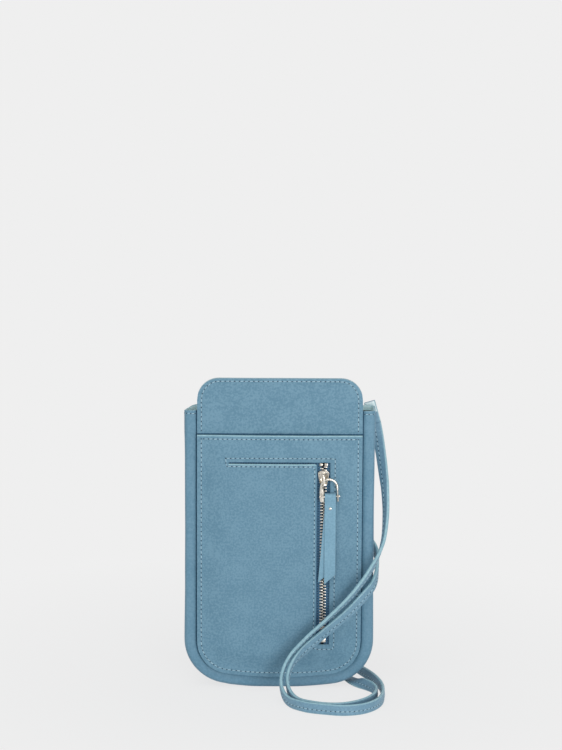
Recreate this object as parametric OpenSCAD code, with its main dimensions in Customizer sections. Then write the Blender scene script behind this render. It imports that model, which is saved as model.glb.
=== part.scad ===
// Crossbody phone pouch in smooth leather, standing on its bow-shaped gusset.
// The front faces -Y, the wearer's side +Y, up is +Z. The origin is the centre of
// the flat that the gusset stands on.

/* [Body] */
// Width of the body across the gusset
body_w = 118; // [112:1:128]
// Height of the gusset's top edge above the ground
body_h = 178; // [165:1:195]
// Depth of the gusset from panel to panel
body_d = 18; // [16:0.5:22]
// Width of the gusset's border that shows around a panel
border_w = 8; // [6:0.5:10]
// Radius of the gusset's two bottom corners
corner_r = 29; // [25:1:33]
// Slope at which the bottom's shallow bow meets each corner
lean = 7.5; // [4:0.5:10]
// Thickness of the gusset's leather
gusset_t = 1.4; // [1:0.1:1.8]
// Radius of the gusset's long outer edges
edge_r = 3.5; // [2.6:0.1:4.5]
// Width of the gusset's turned flange under a panel's edge
seam_w = 5; // [4:0.5:7]
// Width of the flat on which the pouch stands
foot_w = 20; // [16:1:24]
// Reach of the rounded ends of that flat
foot_round = 4; // [3:0.5:5]

/* [Panels] */
// Thickness of the front and back panels' leather
panel_t = 1.4; // [1:0.1:2]
// Rise of the front panel's tab above the gusset's top edge
tab_rise = 20.5; // [16:0.5:28]
// Radius of the tab's two top corners
tab_r = 13.5; // [8:0.5:15]
// Thickness of the leather facing behind the tab
facing_t = 1.1; // [0.8:0.1:1.4]
// Thickness of the stiffening boards
board_t = 1.2; // [0.8:0.1:1.6]
// Thickness of the woven lining
lining_t = 0.6; // [0.4:0.1:0.8]
// Distance from the gusset's top edge down to the lining's hem
lining_drop = 3; // [2:0.5:6]
// Radius of each hidden closing magnet
magnet_r = 6; // [4:0.5:8]
// Distance from the gusset's top edge down to the magnets' centre
magnet_drop = 16; // [14:1:24]

/* [Front pocket] */
// Thickness of the pocket panel's leather
pocket_t = 1.2; // [0.9:0.1:1.6]
// Distance from the tab's top down to the card pocket's mouth
mouth_drop = 35.5; // [33:0.5:42]
// Width of the pocket panel's glued rim
rim_w = 4; // [3:0.5:5]
// Height over which the pocket's mouth flares open
flare_h = 4; // [3:0.5:6]
// Thickness of the zip pocket's bag
bag_t = 0.2; // [0.15:0.05:0.35]
// Distance from the mouth down to the slit
slit_drop = 16.8; // [16:0.2:22]
// Height of the slit
slit_h = 1.2; // [0.8:0.1:1.8]
// Distance from the panel's left edge to the slit's blind end
slit_margin = 19.5; // [17:0.5:24]
// Height of the facing strip behind the slit
slit_facing_h = 9; // [7:0.5:9.5]
// Thickness of the facing strip behind the slit
slit_facing_t = 0.5; // [0.4:0.1:0.6]

/* [Zip] */
// Distance from the panel's right edge to the zip's centre line
zip_margin = 23.9; // [22:0.1:26]
// Width of the window over the zip
window_w = 8.4; // [8:0.1:9.4]
// Height of the window's lower edge above the panel's lower edge
window_lift = 21.9; // [19:0.1:26]
// Width of each zip tape beside the teeth
tape_w = 8; // [7:0.5:9]
// Thickness of the zip tape
tape_t = 0.5; // [0.4:0.05:0.6]
// Length of tape beyond each end of the window
tape_end = 4; // [3.5:0.5:5]
// Distance between neighbouring teeth of one row
tooth_pitch = 1.9; // [1.8:0.05:2.2]
// Height of one tooth
tooth_h = 0.8; // [0.7:0.05:0.82]
// Thickness of the chain of teeth from front to back
tooth_d = 2; // [1.6:0.1:2.2]
// Width of the closed chain
chain_w = 4.1; // [3.9:0.1:4.3]
// Reach of each tooth past the zip's centre line
tooth_reach = 0.75; // [0.5:0.05:0.9]
// Distance that each row parts at the zip's top end
row_spread = 1.2; // [0.8:0.1:1.4]
// Height of the bottom stop
stop_h = 2.8; // [2:0.2:4]
// Height of each top stop
top_stop_h = 1.6; // [1.2:0.1:2]

/* [Slider] */
// Width of the slider
slider_w = 6.8; // [6.6:0.1:7.4]
// Length of the slider
slider_l = 9.6; // [9.4:0.1:10]
// Thickness of each slider plate
plate_t = 0.8; // [0.6:0.05:1]
// Distance from the window's upper edge down to the closed slider
slider_drop = 4.8; // [4:0.2:8]
// Width of the slider's bridge
bridge_w = 1.1; // [0.9:0.1:1.3]
// Thickness of the slider's bridge
bridge_t = 0.7; // [0.6:0.1:0.8]
// Clear height under the slider's bridge
bridge_gap = 3.4; // [3.4:0.1:3.8]

/* [Puller] */
// Radius of the pull ring's arch at the middle of its wire
ring_r = 5; // [5:0.1:5.4]
// Radius of the pull ring's wire
wire_r = 0.75; // [0.7:0.05:0.75]
// Distance from the arch's centre down to the pin
ring_leg = 5.9; // [5:0.1:7]
// Length of the ring's legs below the pin
ring_tail = 2.9; // [2:0.1:4]
// Sideways shift of the ring under the bridge
ring_shift = 3.5; // [0:0.1:3.5]
// Angle by which the ring hangs askew
ring_roll = 3; // [0:1:4]
// Radius of the pin through the ring's legs
pin_r = 0.6; // [0.5:0.02:0.64]
// Radius of the boss around the pin on each leg
eye_r = 1.35; // [1.2:0.05:1.6]
// Width of the leather pull tab
tab_w = 6.9; // [6.4:0.1:6.9]
// Length of the leather pull tab below the pin
tab_l = 56; // [40:0.1:62]
// Height of the slanted cut at the pull tab's end
tab_slant = 6.5; // [0:0.1:10]
// Thickness of the pull tab's leather
tab_t = 1; // [0.8:0.05:1.1]
// Angle by which the pull tab's back layer splays
tail_splay = 4.5; // [0:0.5:6]
// Radius of the pull tab's rivet head
rivet_r = 0.85; // [0.7:0.05:1.2]
// Distance from the pin down to the rivet
rivet_drop = 7.4; // [7:0.1:9]

/* [Strap] */
// Width of the folded leather strap
strap_w = 7; // [6:0.5:8]
// Thickness of the folded leather strap
strap_t = 2; // [1.6:0.1:2.4]
// Length of the left strap end inside the pouch
strap_inner_l = 18; // [12:1:26]
// Length of the left strap end outside the pouch
strap_outer_l = 6; // [4:1:10]
// Length of the right strap end, sewn on behind the gusset's top corner
strap_sewn_l = 14; // [10:1:16]
// Slant of the right strap end
strap_slant = 16; // [12:1:20]
// Rise of the right strap end above the gusset's top edge
strap_proud = 1.7; // [0:0.1:2]
// Distance from the body's right side to the middle of the right strap end
strap_corner = 3.5; // [3.5:0.1:4]
// Distance from the body's left side to the middle of the left strap end
strap_side = 13; // [13:1:21]

/* [Hidden] */
$fn = 64;

// Clearances and the overrun of a cut
seat_fit = 0.3;
bag_fit = 1.5;
slide_fit = 0.2;
chain_fit = 0.3;
slot_fit = 0.05;
pin_fit = 0.03;
loop_fit = 0.5;
over = 1;

// Fine facets for the wide bow, and steps of the gusset's edges, corners and bow
bow_fn = 480;
edge_steps = 4;
corner_steps = 10;
bow_steps = 3;
foot_shares = [-0.92, -0.7, -0.3, 0.3, 0.7, 0.92];

// Sideways place of the pull tab in its ring, and clear leather above the rivet
tab_side_share = 0.5;
rivet_room_shares = 2.8;

// Colours
leather = "#708faa";
leather_light = "#7fa3b8";
lining_blue = "#b9cdd4";
board_grey = "#a8a49c";
tape_navy = "#3c4a63";
nickel = "#cfc8bd";
steel = "#8c8f94";

// Outline of the body
half_w = body_w / 2;
round_x = half_w - corner_r;
bow_r = corner_r + round_x / sin(lean);
foot_lean = asin(foot_w / 2 / bow_r);
bow_z = bow_r * cos(foot_lean);
round_z = bow_z - (bow_r - corner_r) * cos(lean);
panel_half = half_w - border_w;
panel_bottom = bow_z - bow_r + border_w;
tab_top = body_h + tab_rise;

// Layers from the gusset's middle outwards
core_t = max(gusset_t, board_t);
lining_y = body_d / 2 - core_t;
panel_face = body_d / 2 + panel_t;
slider_half = tooth_d / 2 + chain_fit + plate_t;
zip_y = -(panel_face + bag_t + slide_fit + slider_half);
pocket_in = zip_y - tape_t / 2;
pocket_out = pocket_in - pocket_t;

// Front pocket and zip
mouth_z = tab_top - mouth_drop;
slit_top = mouth_z - slit_drop;
zip_x = panel_half - zip_margin;
window_left = zip_x - window_w / 2;
window_bottom = panel_bottom + window_lift;
slit_left = -panel_half + slit_margin;
tape_edge = chain_w / 4 - slot_fit;
tape_low = window_bottom - tape_end;
tape_high = slit_top + tape_end;
raised_left = slit_left - seam_w / 2;
raised_right = zip_x + tape_edge + tape_w + seat_fit;
raised_low = tape_low - seat_fit;
raised_high = tape_high + seat_fit;
stop_z = window_bottom + stop_h / 2;
slider_top = slit_top - slider_drop;
slider_low = slider_top - slider_l;
chain_low = stop_z + stop_h + slot_fit;
top_stop_z = slit_top - seat_fit - top_stop_h;
tooth_count = floor((top_stop_z - slot_fit - tooth_h - chain_low) / tooth_pitch + 0.5);

// Ring and pull tab
plate_face = zip_y - slider_half;
ring_y = plate_face - bridge_gap / 2;
wire_rise = sqrt(pow(ring_r - wire_r, 2) - pow(ring_shift + bridge_w / 2, 2));
arch_z = slider_low + slide_fit + bridge_t + slide_fit / 2 - wire_rise;
arch_x = zip_x + ring_shift;
loop_r = pin_r + loop_fit;
join_drop = rivet_drop - rivet_room_shares * rivet_r;
tab_x = arch_x + ring_leg * sin(ring_roll) + (ring_r - wire_r - tab_w / 2) * tab_side_share;
tab_z = arch_z - ring_leg * cos(ring_roll);

// Strap ends
back_wall = panel_t + core_t + lining_t;
left_fold_r = (back_wall + strap_t) / 2 + seat_fit;
left_fold_y = panel_face - back_wall / 2;
strap_left = half_w - strap_side;
strap_top = [half_w - strap_corner, body_d / 2 + seat_fit + strap_t / 2, body_h + strap_proud];
start_way = [sin(strap_slant), 0, -cos(strap_slant)];

// Route of the strap from the right end to the left end
strap_start = strap_top + strap_sewn_l * start_way;
strap_finish = [-strap_left, left_fold_y + left_fold_r, body_h - strap_outer_l];
route = [strap_start,
  [61, 10.6, 158], [62.9, 7.8, 147], [64.3, 3.3, 137], [65.5, -1.5, 127], [66, -5, 110],
  [64, -10.5, 94],
  [57.6, -18.5, 81], [45.5, -23.5, 65], [30.5, -25, 50], [16, -26, 36.5], [6, -28.5, 25],
  [1.5, -36, 12.5], [5, -47, 4.6], [15, -58.5, 3.8], [28, -63.8, 3.7], [41, -66, 3.7],
  [53, -61.5, 3.7], [61.5, -50, 3.7], [64.7, -34, 3.7], [64, -17, 3.7], [60, -1, 3.7],
  [53.5, 14, 3.7], [47, 28, 3.7], [38, 43, 3.7], [25, 56, 3.7], [8, 61, 3.7], [-17, 61, 3.7],
  [-42, 61, 3.7], [-47.7, 58.7, 3.7], [-50, 53, 3.7], [-47.7, 47.3, 3.7], [-42, 45, 3.7],
  [-20, 45, 3.7], [4, 45, 3.7], [27, 45, 3.7], [32.7, 42.7, 3.7], [35, 37, 3.7],
  [32.7, 31.3, 3.7], [27, 29, 3.7], [6, 29, 3.7], [-15, 29, 3.7], [-36, 29, 3.7],
  [-41.7, 26.7, 3.7], [-44, 21, 3.7], [-41.7, 15.3, 3.7], [-36, 13, 3.7], [-16, 13, 3.7],
  [5, 14.5, 3.7], [26, 16.5, 4.1], [38, 14.5, 2.2], [44.5, 6, 1.3], [48, -3.5, 2.4], [54, -12.5, 3.7],
  [59.3, -21, 3.7], [60.5, -32, 3.7], [57, -45, 3.7], [48, -56, 3.7], [36, -61.5, 3.7],
  [22, -58.5, 3.7], [10.5, -49, 4.4], [5.5, -37, 11], [7.5, -29, 21], [15, -24, 30],
  [28, -22.5, 41], [42, -21.5, 53], [52.5, -19.5, 62.5], [58.5, -14.5, 69], [61, -3, 76],
  [59.8, 10.2, 84.5], [48, 14.5, 96.5], [28, 13.2, 112], [0, 12.7, 134], [-26, 12.3, 154],
  [-41, 12.3, 164], strap_finish];

// Direction of the strap's width at each point of its route
on_edge = [0, 0, 1];
width_way = concat([[cos(strap_slant), 0, sin(strap_slant)],
  [0.93, -0.2, 0.15], [0.86, -0.5, 0.05], [0.75, -0.66, 0], [0.58, -0.81, 0], [0.35, -0.93, 0],
  [0.2, -0.97, 0],
  [0, -0.98, 0.1], [-0.2, -0.95, 0.2], [-0.2, -0.95, 0.2], [-0.2, -0.95, 0.2], [-0.1, -0.95, 0.3],
  [0, -0.8, 0.6], [0, -0.25, 0.97]],
  [for (i = [14 : 49]) on_edge],
  [[0.4, 0.9, 0.1], [0.9, 0.4, 0], [0.85, 0.4, 0.3], [0.2, 0.15, 0.97]],
  [for (i = [54 : 59]) on_edge],
  [[0, -0.2, 0.98], [0, -0.65, 0.75], [0, -0.9, 0.4], [0.1, -0.95, 0], [0.25, -0.9, -0.25],
  [0.25, -0.9, -0.3], [0.3, -0.85, -0.4], [0.25, -0.4, -0.85], [0, 0.3, -0.9],
  [-0.2, 0.3, -0.9], [-0.5, 0.1, -0.8], [-0.6, 0, -0.8], [-0.6, 0, -0.8], [-0.6, 0, -0.8],
  [-0.9, 0, -0.4], [-1, 0, 0]]);
strap_rings = 84;
strap_chamfer_share = 0.25;

// Two-dimensional outline of the body, held in from the gusset's outside
module outline(inset, top, corner_fn = 64, wide_fn = bow_fn) {
  reach = (bow_r + over) / cos(lean);
  union() {
    intersection() {
      translate([0, bow_z]) circle(r = bow_r - inset, $fn = wide_fn);
      polygon([[-round_x, round_z], [round_x, round_z],
        [reach * sin(lean), bow_z - reach * cos(lean)],
        [-reach * sin(lean), bow_z - reach * cos(lean)]]);
    }
    for (side = [-1, 1])
      translate([side * round_x, round_z]) circle(r = corner_r - inset, $fn = corner_fn);
    translate([inset - half_w, round_z]) square([body_w - 2 * inset, top - round_z]);
  }
}

// Outline of the front panel with its rounded tab
module tab_outline() {
  outline(border_w, tab_top - tab_r);
  translate([tab_r - panel_half, tab_top - tab_r])
    square([2 * (panel_half - tab_r), tab_r]);
  for (side = [-1, 1])
    translate([side * (panel_half - tab_r), tab_top - tab_r]) circle(r = tab_r);
}

// Plate of the given thickness whose front face lies at front_y
module slab(front_y, thick) {
  translate([0, front_y + thick, 0]) rotate([90, 0, 0]) linear_extrude(thick) children();
}

// Profile extruded along X about the middle, drawn as depth and height
module along_x(length) {
  rotate([90, 0, 90]) translate([0, 0, -length / 2]) linear_extrude(length) children();
}

// Smooth skin through rings of points, closed at both ends
module swept(rings) {
  sides = len(rings[0]);
  last = (len(rings) - 1) * sides;
  walls = [for (i = [0 : len(rings) - 2], j = [0 : sides - 1], half = [0, 1])
    let (a = i * sides + j, b = i * sides + (j + 1) % sides)
    half == 0 ? [a, b, b + sides] : [a, b + sides, a + sides]];
  caps = [for (j = [0 : sides / 2 - 2], end = [0, 1])
    let (cap = [j, j + 1, sides - 2 - j, sides - 1 - j])
    end == 0 ? [cap[3], cap[2], cap[1], cap[0]] : [for (k = cap) k + last]];
  polyhedron([for (ring = rings) each ring], concat(walls, caps));
}

// Places along the outline's right half, from the middle up: centre of the arc, radius, slope
bow_places = [for (i = [0 : bow_steps])
  [[0, bow_z], bow_r, foot_lean + (lean - foot_lean) * i / bow_steps]];
corner_places = [for (i = [1 : corner_steps])
  [[round_x, round_z], corner_r, lean + (90 - lean) * i / corner_steps]];
function half_outline(top) =
  concat(bow_places, corner_places, [[[round_x, top], corner_r, 90]]);

// How far the flat's rounded end reaches at one point of the section
function foot_reach(p, place) = place[2] != foot_lean || p[0] != 0 ? 0
  : foot_round * sqrt(max(0, 1 - pow(p[1] / (body_d / 2 - edge_r), 2)));

// Section of depth and reach placed at one place of the outline, on the given side
function placed(section, place, side) =
  [for (p = section) [
    side * (place[0][0] + (place[1] + p[0]) * sin(place[2]) + foot_reach(p, place)),
    p[1], place[0][1] - (place[1] + p[0]) * cos(place[2])]];

// Section run down the left side, round the bottom and up the right side
module round_the_body(top, section) {
  half = half_outline(top);
  swept(concat([for (i = [len(half) - 1 : -1 : 0]) placed(section, half[i], -1)],
    [for (place = half) placed(section, place, 1)]));
}

// Edge of a channel, held in from the outline, with its two corners rounded in steps, and with
// points at shares of its flat side
function rounded_edge(inset, reach, shares) =
  let (r = edge_r - inset, half = body_d / 2 - inset,
    turn = [for (i = [0 : edge_steps]) 90 * i / edge_steps])
  concat([[-reach, -half]],
    [for (a = turn) [-inset - r + r * sin(a), r - half - r * cos(a)]],
    [for (share = shares) [-inset, share * (half - r)]],
    [for (a = turn) [-inset - r + r * cos(a), half - r + r * sin(a)]],
    [[-reach, half]]);

// Channel of even thickness with a flange on both sides
function channel(inset, thick, reach, shares = []) =
  let (inner = rounded_edge(inset + thick, reach, shares))
  concat(rounded_edge(inset, reach, shares), [for (i = [len(inner) - 1 : -1 : 0]) inner[i]]);

// Rectangle with rounded corners, centred
module rounded_plate(w, l, r) {
  square([w - 2 * r, l], center = true);
  square([w, l - 2 * r], center = true);
  for (x = [-1, 1], y = [-1, 1]) translate([x * (w / 2 - r), y * (l / 2 - r)]) circle(r = r);
}

module front_panel() {
  color(leather) slab(-panel_face, panel_t) tab_outline();
}

module back_panel() {
  color(leather) slab(body_d / 2, panel_t) outline(border_w, body_h);
}

// Leather facing on the back of the tab, above the gusset's top edge
module tab_facing() {
  color(leather) slab(-body_d / 2, facing_t)
    intersection() {
      tab_outline();
      translate([-panel_half, body_h + seat_fit]) square([2 * panel_half, tab_rise]);
    }
}

// Raised shape of the pocket panel, thick or hollow
module pocket_form(inset, top, base_y, base_t, raised_y, raised_t) {
  hull() {
    slab(base_y, base_t) outline(inset, top, 48, 240);
    slab(raised_y, raised_t) translate([raised_left, raised_low])
      square([raised_right - raised_left, raised_high - raised_low]);
  }
}

// Pocket panel: a shallow tray with the L-shaped opening of the zip pocket
module pocket_panel() {
  color(leather) difference() {
    pocket_form(border_w, mouth_z, -panel_face - pocket_t, pocket_t, pocket_out, pocket_t);
    pocket_form(border_w + rim_w, mouth_z + flare_h, -panel_face, over, pocket_in, over);
    translate([window_left, pocket_out - over, window_bottom])
      cube([window_w, pocket_t + 2 * over, slit_top - window_bottom]);
    translate([slit_left, pocket_out - over, slit_top - slit_h])
      cube([window_left - slit_left + over, pocket_t + 2 * over, slit_h]);
  }
}

module gusset() {
  color(leather) round_the_body(body_h, channel(0, gusset_t, border_w + seam_w, foot_shares));
}

module gusset_lining() {
  color(lining_blue) round_the_body(body_h - lining_drop, channel(gusset_t, lining_t, border_w));
}

// Stiffening board inside the ring of the gusset's flange
module board(front_y) {
  color(board_grey) slab(front_y, board_t)
    difference() {
      outline(border_w + seam_w + seat_fit, body_h - lining_drop);
      translate([0, body_h - magnet_drop]) circle(r = magnet_r + pin_fit);
    }
}

module front_board() {
  board(-body_d / 2);
}

module back_board() {
  board(body_d / 2 - board_t);
}

module front_lining() {
  color(lining_blue) slab(-lining_y, lining_t) outline(border_w + seat_fit, body_h - lining_drop);
}

module back_lining() {
  color(lining_blue) slab(lining_y - lining_t, lining_t)
    outline(border_w + seat_fit, body_h - lining_drop);
}

// Disc magnet let into a board
module magnet(front_y) {
  color(steel) slab(front_y, board_t) translate([0, body_h - magnet_drop]) circle(r = magnet_r);
}

module magnet_front() {
  magnet(-body_d / 2);
}

module magnet_back() {
  magnet(body_d / 2 - board_t);
}

module pocket_bag() {
  color(lining_blue) slab(-panel_face - bag_t, bag_t)
    outline(border_w + rim_w + bag_fit, raised_high - bag_fit);
}

module slit_facing() {
  color(tape_navy) slab(pocket_in, slit_facing_t)
    translate([raised_left, slit_top - slit_h / 2 - slit_facing_h / 2])
      square([zip_x - tape_edge - tape_w - seat_fit - raised_left, slit_facing_h]);
}

// Sideways shift of a row at a height, where the rows part above the closed slider
function parting(z) = row_spread * max(0, z - slider_top) / (tape_high - slider_top);

// Right-hand tape, drawn from the zip's centre line
module zip_tape() {
  color(tape_navy) slab(pocket_in, tape_t)
    polygon([[tape_edge, tape_low], [tape_edge + tape_w, tape_low],
      [tape_edge + tape_w, tape_high], [tape_edge + row_spread, tape_high],
      [tape_edge, slider_top]]);
}

module zip_tape_left() {
  translate([zip_x, 0, 0]) mirror([1, 0, 0]) zip_tape();
}

module zip_tape_right() {
  translate([zip_x, 0, 0]) zip_tape();
}

// Clamp of the given height around the inner edge of the right-hand tape
module clamp(height, reach) {
  slot = tape_t / 2 + slot_fit;
  linear_extrude(height)
    polygon([[-reach, -tooth_d / 2], [chain_w / 2, -tooth_d / 2], [chain_w / 2, -slot],
      [tape_edge - 2 * slot_fit, -slot], [tape_edge - 2 * slot_fit, slot], [chain_w / 2, slot],
      [chain_w / 2, tooth_d / 2], [-reach, tooth_d / 2]]);
}

// Row of teeth on the right-hand tape, from the given height up
module tooth_row(low) {
  color(nickel)
    for (i = [0 : tooth_count - 1]) {
      z = low + i * tooth_pitch;
      translate([parting(z + tooth_h / 2), zip_y, z]) clamp(tooth_h, tooth_reach);
    }
}

module zip_teeth_left() {
  translate([zip_x, 0, 0]) mirror([1, 0, 0]) tooth_row(chain_low);
}

module zip_teeth_right() {
  translate([zip_x, 0, 0]) tooth_row(chain_low + tooth_pitch / 2);
}

module zip_top_stops() {
  color(nickel) translate([zip_x, zip_y, top_stop_z])
    for (side = [0, 1])
      mirror([side, 0, 0]) translate([parting(top_stop_z + top_stop_h / 2), 0, 0])
        clamp(top_stop_h, -2 * slot_fit);
}

module zip_bottom_stop() {
  color(nickel) translate([zip_x, zip_y, stop_z])
    for (side = [0, 1]) mirror([side, 0, 0]) clamp(stop_h, 0);
}

// Slider plate with its two side flanges, seen from its outer face inwards
module slider_plate() {
  flange = slider_half - plate_t - tape_t / 2 - slide_fit;
  slab(0, plate_t) rounded_plate(slider_w, slider_l, slider_w / 4);
  for (side = [-1, 1])
    slab(plate_t, flange)
      intersection() {
        rounded_plate(slider_w, slider_l, slider_w / 4);
        translate([side * slider_w / 2, 0])
          square([slider_w - chain_w - 2 * chain_fit, slider_l], center = true);
      }
}

// Bridge over the ring's bar, seen from the side
module slider_bridge() {
  rise = bridge_gap + bridge_t;
  length = slider_l - 2 * bridge_t;
  along_x(bridge_w)
    difference() {
      translate([0, length / 2]) rounded_plate(2 * rise, length, rise / 2);
      translate([0, length / 2])
        rounded_plate(2 * bridge_gap, length - 2 * bridge_t, bridge_gap / 4);
      translate([0, -over]) square([rise + over, length + 2 * over]);
    }
}

// Slider as two plates around the chain, the front one carrying the bridge
module zip_slider() {
  middle = (slider_top + slider_low) / 2;
  color(nickel) {
    translate([zip_x, plate_face, middle]) slider_plate();
    translate([zip_x, zip_y + slider_half, middle]) rotate([0, 0, 180]) slider_plate();
    translate([zip_x, plate_face, slider_low + slide_fit]) slider_bridge();
  }
}

// Places ring and pin in the frame of the arch's centre
module at_ring() {
  translate([arch_x, ring_y, arch_z]) rotate([0, -ring_roll, 0]) children();
}

module pull_ring() {
  leg = ring_leg + ring_tail;
  color(nickel) at_ring() difference() {
    union() {
      rotate([90, 0, 0]) rotate_extrude(angle = 180) translate([ring_r, 0]) circle(r = wire_r);
      for (side = [-1, 1])
        translate([side * ring_r, 0, 0]) {
          translate([0, 0, -leg]) cylinder(r = wire_r, h = leg);
          translate([0, 0, -leg]) sphere(r = wire_r);
          translate([0, 0, -ring_leg]) rotate([0, 90, 0])
            cylinder(r = eye_r, h = 2 * wire_r, center = true);
        }
    }
    translate([0, 0, -ring_leg]) rotate([0, 90, 0])
      cylinder(r = pin_r + pin_fit, h = body_d, center = true);
  }
}

module pull_pin() {
  length = 2 * (ring_r + wire_r + pin_fit);
  color(nickel) at_ring() translate([0, 0, -ring_leg]) rotate([0, 90, 0]) {
    cylinder(r = pin_r, h = length + pin_r, center = true);
    for (side = [-1, 1])
      translate([0, 0, side * (length + pin_r) / 2])
        cylinder(r = pin_r + wire_r / 4, h = pin_r, center = true);
  }
}

// Circle drawn out downwards to a point
module teardrop(r, apex) {
  sine = r / apex;
  circle(r = r);
  polygon([[-r * sqrt(1 - sine * sine), -r * sine], [0, -apex], [r * sqrt(1 - sine * sine), -r * sine]]);
}

// Leather layer of the pull tab, with its slanted end
module tab_layer(width, length) {
  polygon([[-width / 2, -join_drop], [-width / 2, -length], [width / 2, tab_slant - length],
    [width / 2, -join_drop]]);
}

module pull_tab() {
  draw = join_drop / loop_r;
  color(leather_light) translate([tab_x, ring_y, tab_z]) difference() {
    union() {
      along_x(tab_w) difference() {
        union() {
          teardrop(loop_r + tab_t, draw * (loop_r + tab_t));
          translate([-tab_t, -rivet_drop - 2 * rivet_r])
            square([2 * tab_t, rivet_drop + 2 * rivet_r - join_drop]);
        }
        teardrop(loop_r, draw * loop_r);
      }
      slab(-tab_t, tab_t) tab_layer(tab_w, tab_l);
      translate([0, 0, -rivet_drop]) rotate([0, tail_splay, 0]) translate([0, 0, rivet_drop])
        slab(0, tab_t) tab_layer(tab_w, tab_l - rivet_r);
    }
    translate([0, 0, -rivet_drop]) rotate([90, 0, 0])
      cylinder(r = rivet_r / 2 + pin_fit, h = 4 * tab_t, center = true);
  }
}

module tab_rivet() {
  head_t = rivet_r / 2;
  color(nickel) translate([tab_x, ring_y, tab_z - rivet_drop]) rotate([90, 0, 0]) {
    cylinder(r = rivet_r / 2, h = 2 * (tab_t + head_t), center = true);
    for (side = [-1, 1])
      translate([0, 0, side * (tab_t + head_t / 2)]) cylinder(r = rivet_r, h = head_t, center = true);
  }
}

// Strap end folded over the back wall: a leg inside, the fold and a leg outside along +X
module strap_fold(fold_r) {
  rotate([90, 0, 0]) rotate_extrude(angle = 180) translate([fold_r, 0])
    square([strap_t, strap_w], center = true);
  translate([fold_r - strap_t / 2, -strap_w / 2, -strap_outer_l])
    cube([strap_t, strap_w, strap_outer_l]);
  translate([-fold_r - strap_t / 2, -strap_w / 2, -strap_inner_l])
    cube([strap_t, strap_w, strap_inner_l]);
}

module strap_end_right() {
  color(leather) translate(strap_top) rotate([0, -strap_slant, 0])
    translate([-strap_w / 2, -strap_t / 2, -strap_sewn_l]) cube([strap_w, strap_t, strap_sewn_l]);
}

module strap_end_left() {
  color(leather) translate([-strap_left, left_fold_y, body_h]) rotate([0, 0, 90])
    strap_fold(left_fold_r);
}

// Smooth curve through the route's points, at a place counted in points
function unit(v) = v / norm(v);
function route_way(i) = unit(route[min(len(route) - 1, i + 1)] - route[max(0, i - 1)]);
function on_route(place) =
  let (i = min(len(route) - 2, floor(place)), t = place - i, u = 1 - t,
    a = route[i], b = route[i + 1], reach = norm(b - a))
  u * u * (1 + 2 * t) * a + t * t * (3 - 2 * t) * b
    + t * u * reach * (u * route_way(i) - t * route_way(i + 1));

// One ring of the strap: a flat section with its corners cut off
function section(centre, along, across) =
  let (w = unit(across - (across * along) * along), n = cross(along, w),
    x = strap_w / 2, y = strap_t / 2, c = strap_t * strap_chamfer_share)
  [for (p = [[x - c, -y], [x, c - y], [x, y - c], [x - c, y],
    [c - x, y], [-x, y - c], [-x, c - y], [c - x, -y]]) centre + p[0] * w + p[1] * n];

function strap_ring(i) =
  let (place = i * (len(route) - 1) / (strap_rings - 1), step = 0.01,
    low = min(len(route) - 2, floor(place)), t = place - low,
    along = i == 0 ? start_way : i == strap_rings - 1 ? [0, 0, 1]
      : unit(on_route(place + step) - on_route(place - step)))
  section(on_route(place), along, (1 - t) * width_way[low] + t * width_way[low + 1]);

module strap() {
  color(leather) swept([for (i = [0 : strap_rings - 1]) strap_ring(i)]);
}

front_panel();
back_panel();
tab_facing();
pocket_panel();
gusset();
gusset_lining();
front_board();
back_board();
front_lining();
back_lining();
magnet_front();
magnet_back();
pocket_bag();
slit_facing();
zip_tape_left();
zip_tape_right();
zip_teeth_left();
zip_teeth_right();
zip_top_stops();
zip_bottom_stop();
zip_slider();
pull_ring();
pull_pin();
pull_tab();
tab_rivet();
strap_end_right();
strap_end_left();
strap();
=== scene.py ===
import math

import bmesh
import bpy
from mathutils import Matrix, Vector, noise


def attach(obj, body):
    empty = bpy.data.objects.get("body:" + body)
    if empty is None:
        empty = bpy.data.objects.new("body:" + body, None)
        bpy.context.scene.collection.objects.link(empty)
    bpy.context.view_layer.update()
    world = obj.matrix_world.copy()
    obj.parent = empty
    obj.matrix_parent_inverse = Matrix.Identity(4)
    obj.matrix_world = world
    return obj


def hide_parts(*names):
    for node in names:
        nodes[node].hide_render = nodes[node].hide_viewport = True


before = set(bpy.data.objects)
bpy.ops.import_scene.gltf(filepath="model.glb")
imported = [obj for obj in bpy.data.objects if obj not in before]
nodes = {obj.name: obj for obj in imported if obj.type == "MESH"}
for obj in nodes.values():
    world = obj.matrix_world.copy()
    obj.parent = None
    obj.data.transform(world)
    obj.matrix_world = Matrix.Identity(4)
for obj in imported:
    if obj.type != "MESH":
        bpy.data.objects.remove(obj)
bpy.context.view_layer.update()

# Every piece is drawn in millimetres and stored in metres
MM = 0.001
UP, FRONT = Vector((0, 0, 1)), Vector((0, -1, 0))

# Thickness of each leather and cloth
PANEL_T, POCKET_T, FACING_T, GUSSET_T, PULL_T = 1.4, 1.2, 1.1, 1.4, 0.95
LINING_T, GUSSET_LINING_T, TAPE_T = 0.55, 0.5, 0.5

# Outline of the body, as its solids have it: a bowed bottom on a flat foot, and round corners
HALF_W, BODY_H, HALF_D = 59.0, 178.0, 9.0
CORNER_R, LEAN, FOOT_HALF = 29.0, math.radians(7.5), 10.0
ROUND_X = HALF_W - CORNER_R
BOW_R = CORNER_R + ROUND_X / math.sin(LEAN)
BOW_Z = math.sqrt(BOW_R ** 2 - FOOT_HALF ** 2)
ROUND_Z = BOW_Z - (BOW_R - CORNER_R) * math.cos(LEAN)
BORDER = 8.0
TAB_TOP, TAB_R = 198.5, 13.5
TAB_MIDDLE = HALF_W - BORDER - TAB_R
LINING_TOP = BODY_H - 3

# Rows of a panel's grid: its lowest, where they run level, and where the tab's corners start
ROW_LOW, ROW_LEVEL, ROW_TAB = 7.8, 31.5, 184.0

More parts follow.
